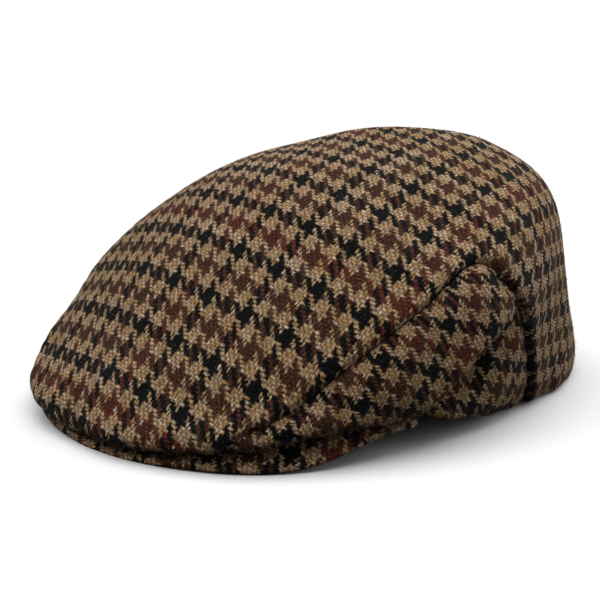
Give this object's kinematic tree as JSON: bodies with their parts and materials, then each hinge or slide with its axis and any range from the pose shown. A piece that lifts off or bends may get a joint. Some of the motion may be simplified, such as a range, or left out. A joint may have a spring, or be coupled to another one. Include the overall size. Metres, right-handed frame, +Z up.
{
  "type": "flat cap",
  "caption": "Flat cap in checked tweed with a sloping crown of a top panel and side panels, a covered peak under its front edge and an open hollow for the head.",
  "frame": {"origin": "middle of the cap's box, on the surface the cap rests on", "axes": "-Y towards the peak, +X to the wearer's left, +Z up"},
  "size_m": [0.2074, 0.259, 0.1075],
  "materials": {
    "tweed": "matte brushed wool with a small check"
  },
  "bodies": {
    "root": {"top_panel": "tweed", "side_panel_left": "tweed", "side_panel_right": "tweed", "peak": "tweed"}
  },
  "joints": []
}
